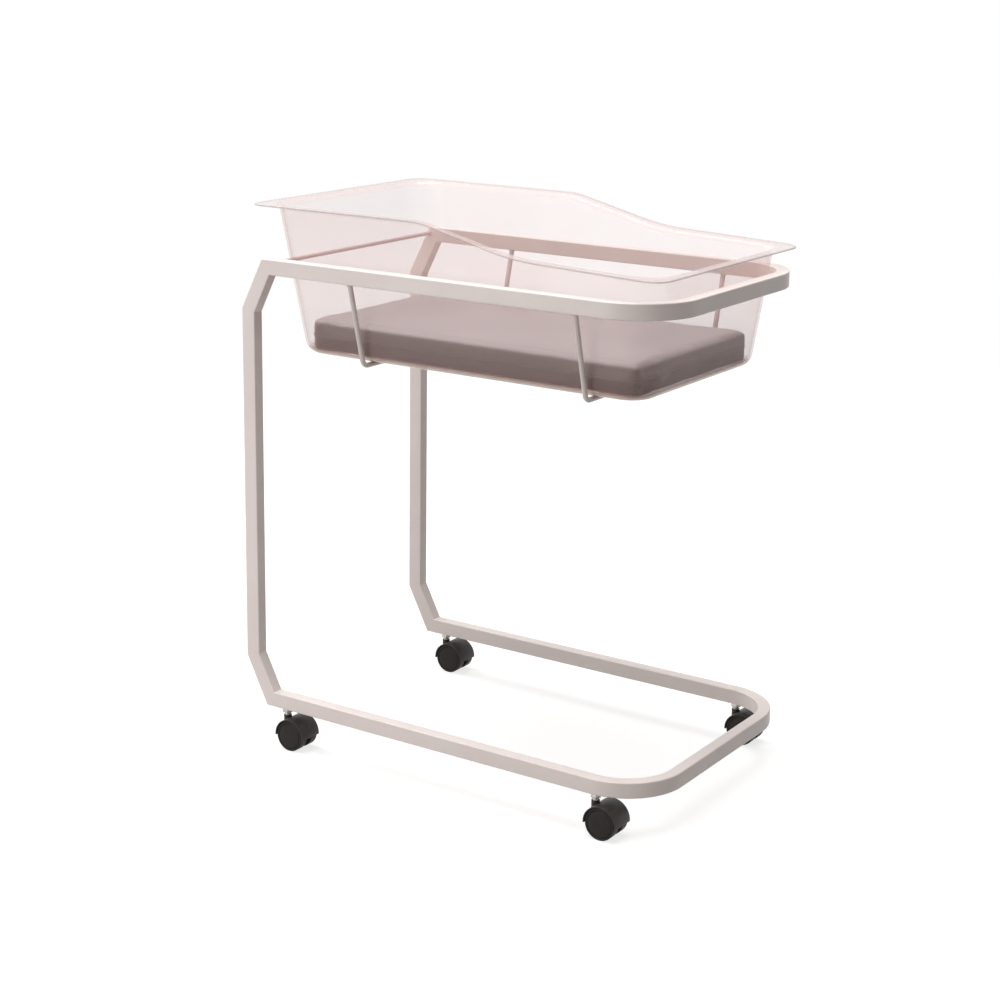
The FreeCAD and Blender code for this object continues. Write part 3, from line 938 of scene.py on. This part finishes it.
# ------------------------------------------------------------------ mattress
PAD_HEAD_CORNER = 30 * MM
PAD_FOOT_CORNER = 7 * MM
PAD_EDGE = 6 * MM
PAD_EDGE_STEPS = 4
PAD_START_IN = 2 * MM                # the cover starts this much smaller and is blown out
PAD_START_UP = 0.5 * MM
PAD_START_DOWN = 3 * MM
PAD_CAP = 4 * MM                     # no point of the cover moves further
PAD_STATIONS = (60, 34, 8)
PAD_CELL = 4.5 * MM
PUFF = {
    "quality": 5, "mass": 0.3, "tension_stiffness": 18, "compression_stiffness": 18,
    "bending_stiffness": 2.0, "use_pressure": True, "uniform_pressure_force": 3.0,
}
PUFF_FRAMES = 20
SIDE_SHADE_REACH = 18 * MM                 # the sides' painted shade ends this far in from the outline, on the edge of the top
SIDE_SHADE_GAIN = 1.6                      # and is full before it reaches the outline
TOP_CLEAR = 1 * MM                   # it fades in downwards from this far above the box
TOP_FADE = 9 * MM
SEAM_SHARE = 0.50                    # height of the side seam on the pad
SEAM_FADE = 3 * MM
SEAM_STATIONS = (70, 36, 12)
SEAM_OUTSIDE = 30 * MM               # the seam is looked for from here, inwards
SEAM_INSIDE = 20 * MM
WELT_PROUD = 0.2 * MM
WELT = {"radius": 1.3 * MM, "spacing": 3 * MM, "ripple": 0.04, "sides": 10}
STITCH_RISE = 3.5 * MM               # above the seam
STITCH_PROUD = 0.1 * MM
STITCH = {"pitch": 4.2 * MM, "length": 2.8 * MM, "thickness": 0.3 * MM}


def pad_block(low, high):
    """Plain pad with rounded edges, a little smaller than the finished one."""
    x0, x1 = low.x + PAD_START_IN, high.x - PAD_START_IN
    half_y = high.y - PAD_START_IN
    z0, z1 = low.z + PAD_START_UP, high.z - PAD_START_DOWN
    quarter = quarter_turn(PAD_EDGE_STEPS)
    profile = [(PAD_EDGE * (1 - sin(a)), z0 + PAD_EDGE * (1 - cos(a))) for a in quarter]
    profile += [(PAD_EDGE * (1 - sin(a)), z1 - PAD_EDGE * (1 - cos(a))) for a in reversed(quarter)]
    rows = []
    for inset, z in profile:
        size = (x0 + inset, x1 - inset, half_y - inset)
        corners = (PAD_HEAD_CORNER - inset, PAD_FOOT_CORNER - inset)
        rows.append([(*outline_point(station, *size, *corners), z)
                     for station in stations(*PAD_STATIONS)])
    bm, made = rows_to_bmesh(rows)
    bm.faces.new(made[0])
    bm.faces.new(made[-1])
    bmesh.ops.triangulate(bm, faces=[face for face in bm.faces if len(face.verts) > 4])
    return bmesh_to_mesh(bm, "mattress_pad")


def puff(pad):
    """Blows the cover out with a short cloth simulation."""
    cloth = pad.modifiers.new("cloth", "CLOTH")
    for key, value in PUFF.items():
        setattr(cloth.settings, key, value)
    cloth.settings.effector_weights.gravity = 0.0
    for number in range(1, PUFF_FRAMES + 1):
        bpy.context.scene.frame_set(number)
    freeze(pad)
    bpy.context.scene.frame_set(1)


def hold_cover(mesh, rest, low, high):
    """Keeps each point of the cover near its place at rest and inside the pad's box."""
    for vert, was in zip(mesh.vertices, rest):
        move = vert.co - was
        if move.length > PAD_CAP:
            vert.co = was + move * (PAD_CAP / move.length)
        vert.co.x = min(max(vert.co.x, low.x), high.x)
        vert.co.y = min(max(vert.co.y, low.y), high.y)
        vert.co.z = max(vert.co.z, low.z)


def mark_sides(mesh, low, high, seam_z):
    """Attributes for the cover's painted shade: "side" is 1 on the sides and along the top's edge,
    "low" is 1 below the seam.
    """
    side = mesh.attributes.new("side", "FLOAT", "POINT")
    lower = mesh.attributes.new("low", "FLOAT", "POINT")
    for vert in mesh.vertices:
        x, y, z = vert.co
        depth = min(x - low.x, high.x - x, y - low.y, high.y - y)
        # painted shade on the sides, reaching a little onto the edge of the top
        edge_shade = clamp((1 - depth / SIDE_SHADE_REACH) * SIDE_SHADE_GAIN)
        below_top = clamp((high.z + TOP_CLEAR - z) / TOP_FADE)
        side.data[vert.index].value = edge_shade * below_top
        lower.data[vert.index].value = clamp((seam_z + SEAM_FADE / 2 - z) / SEAM_FADE)


def seam_line(surface, low, high, z, proud):
    """Closed line round the pad at height z, found on its surface from outside."""
    line = []
    for station in stations(*SEAM_STATIONS):
        x, y = outline_point(station, low.x - SEAM_OUTSIDE, high.x + SEAM_OUTSIDE,
                             high.y + SEAM_OUTSIDE, PAD_HEAD_CORNER + SEAM_OUTSIDE,
                             PAD_FOOT_CORNER + SEAM_OUTSIDE)
        ix, iy = outline_point(station, low.x + SEAM_INSIDE, high.x - SEAM_INSIDE,
                               high.y - SEAM_INSIDE, PAD_HEAD_CORNER, PAD_FOOT_CORNER)
        start = Vector((x, y, z))
        inward = (Vector((ix, iy, z)) - start).normalized()
        hit, _, _, _ = surface.ray_cast(start, inward)
        if hit:
            line.append(hit - inward * proud)
    return line


def make_mattress(material, welt, sweep, stitches):
    """Boxed foam pad in a coated cover, with a welt and a row of stitches round its side."""
    low, high = corner_box("mattress")
    seam_z = low.z + (high.z - low.z) * SEAM_SHARE
    pad = new_object("mattress_pad", pad_block(low, high))
    apply_modifier(pad, "REMESH", mode="VOXEL", voxel_size=PAD_CELL)
    rest = [vert.co.copy() for vert in pad.data.vertices]
    puff(pad)
    mesh = pad.data
    bpy.data.objects.remove(pad)
    hold_cover(mesh, rest, low, high)
    mark_sides(mesh, low, high, seam_z)
    smooth(mesh)
    surface = BVHTree.FromPolygons([v.co for v in mesh.vertices],
                                   [p.vertices for p in mesh.polygons])
    piece = add_piece("mattress_pad", mesh, "mattress", material, ["mattress"])
    wire = wire_mesh("welt_line", [seam_line(surface, low, high, seam_z, WELT_PROUD)], closed=True)
    cord = sweep.grow("mattress_welt", wire, material=welt, **WELT)
    add_piece("mattress_welt", cord, "mattress", welt)
    row = seam_line(surface, low, high, seam_z + STITCH_RISE, STITCH_PROUD)
    wire = wire_mesh("stitch_line", [row], closed=True)
    sewn = stitches.grow("mattress_stitches", wire, material=welt, **STITCH)
    add_piece("mattress_stitches", sewn, "mattress", welt)


# --------------------------------------------------------- floor, lamps, view
FLOOR_REACH = 14.0
FLOOR_GLOW = (0.76, 0.76, 0.76)      # the floor's own light near the object
FLOOR_PAINT = (0.35, 0.34, 0.33)     # takes the lamps' light and the object's shadow
WORLD_STRENGTH = 0.22
LAMPS = {                            # place, target, size, power
    "top_box": ((-0.3, -0.3, 5.0), (0, 0, 0.4), (3.6, 3.6), 228.0),
    "head_box": ((-2.8, 0.3, 3.0), (0, 0, 0.2), (1.6, 1.6), 58.0),
    "front_box": ((-0.9, -2.5, 1.1), (0, 0, 0.45), (1.6, 1.4), 24.0),
}
CAMERA_PLACE = (1.7341, -2.6818, 1.3100)
CAMERA_YAW, CAMERA_PITCH, CAMERA_ROLL = 33.54, 12.87, 0.74
CAMERA_LENS = 2.0602                 # in widths of the sensor
CAMERA_SHIFT = -0.1


def make_floor():
    """Pale studio floor that runs out to plain white far from the object."""
    r = FLOOR_REACH
    mesh = bpy.data.meshes.new("studio_floor")
    mesh.from_pydata([(-r, -r, 0), (r, -r, 0), (r, r, 0), (-r, r, 0)], [], [(0, 1, 2, 3)])
    floor = new_object("studio_floor", mesh)
    f = Finish("studio_floor")
    x = f.node("ShaderNodeSeparateXYZ", None, {0: f.place()}, out=0)
    y = f.node("ShaderNodeSeparateXYZ", None, {0: f.place()}, out=1)
    radius = (x * x + y * y) ** 0.5
    glow = f.mix(f.ramp(radius, low=1.1, high=3.2), FLOOR_GLOW, WHITE)
    paint = f.mix(f.ramp(radius, low=1.2, high=4.0), FLOOR_PAINT, BLACK)
    diffuse = f.node("ShaderNodeBsdfDiffuse", None, {"Color": paint})
    light = f.node("ShaderNodeEmission", None, {"Color": glow, "Strength": f.seen_rays()})
    f.end("ShaderNodeOutputMaterial", f.node("ShaderNodeAddShader", None, {0: diffuse, 1: light}))
    mesh.materials.append(f.material)


def make_world():
    """White to the eye, dimmer as a source of light."""
    world = bpy.data.worlds.new("studio")
    bpy.context.scene.world = world
    world.use_nodes = True
    g = Graph(world.node_tree)
    level = g.seen_rays() * (1.0 - WORLD_STRENGTH) + WORLD_STRENGTH
    sky = g.node("ShaderNodeBackground", None, {"Color": WHITE, "Strength": level})
    g.end("ShaderNodeOutputWorld", sky)


def area_lamp(name, place, target, size, power):
    """Soft rectangular lamp that faces its target."""
    lamp = bpy.data.lights.new(name, "AREA")
    lamp.shape = "RECTANGLE"
    lamp.size, lamp.size_y = size
    lamp.energy = power
    piece = new_object(name, lamp)
    piece.location = place
    aim = Vector(target) - Vector(place)
    piece.rotation_euler = aim.to_track_quat("-Z", "Y").to_euler()


def make_camera():
    """Camera beyond the near foot corner, looking down a little."""
    data = bpy.data.cameras.new("studio_camera")
    camera = new_object("studio_camera", data)
    turn = (Matrix.Rotation(radians(CAMERA_YAW), 4, "Z")
            @ Matrix.Rotation(pi / 2 - radians(CAMERA_PITCH), 4, "X")
            @ Matrix.Rotation(radians(CAMERA_ROLL), 4, "Z"))
    camera.location = CAMERA_PLACE
    camera.rotation_euler = turn.to_euler()
    data.sensor_fit = "HORIZONTAL"
    data.sensor_width = 36.0
    data.lens = CAMERA_LENS * data.sensor_width
    data.shift_y = CAMERA_SHIFT
    data.clip_end = 100.0
    bpy.context.scene.camera = camera


# ------------------------------------------------------------------ assembly
def dress(node, material):
    """Gives a solid that stays in view its material."""
    mesh = NODES[node].data
    mesh.materials.clear()
    mesh.materials.append(material)


coat = powder_coat("powder_coat", srgb(241, 229, 224), srgb(233, 220, 215))
rod_coat = powder_coat("rod_coat", srgb(230, 218, 214), srgb(218, 205, 201))
zinc = zinc_plate()
sweep = sweep_recipe()
make_frame(coat, sweep)
make_rods(rod_coat, sweep)
make_casters(caster_nylon(), caster_tread(), zinc, thread_recipe())
dress("stem_inserts", zinc)
for place in PLACES:
    dress(f"caster_{place}_stem", zinc)
    dress(f"caster_{place}_axle", zinc)
make_tub(clear_plastic())
make_mattress(mattress_vinyl(), welt_vinyl(), sweep, stitch_recipe())

make_floor()
make_world()
for name, lamp in LAMPS.items():
    area_lamp(name, *lamp)
make_camera()
bpy.context.scene.view_settings.view_transform = "Standard"
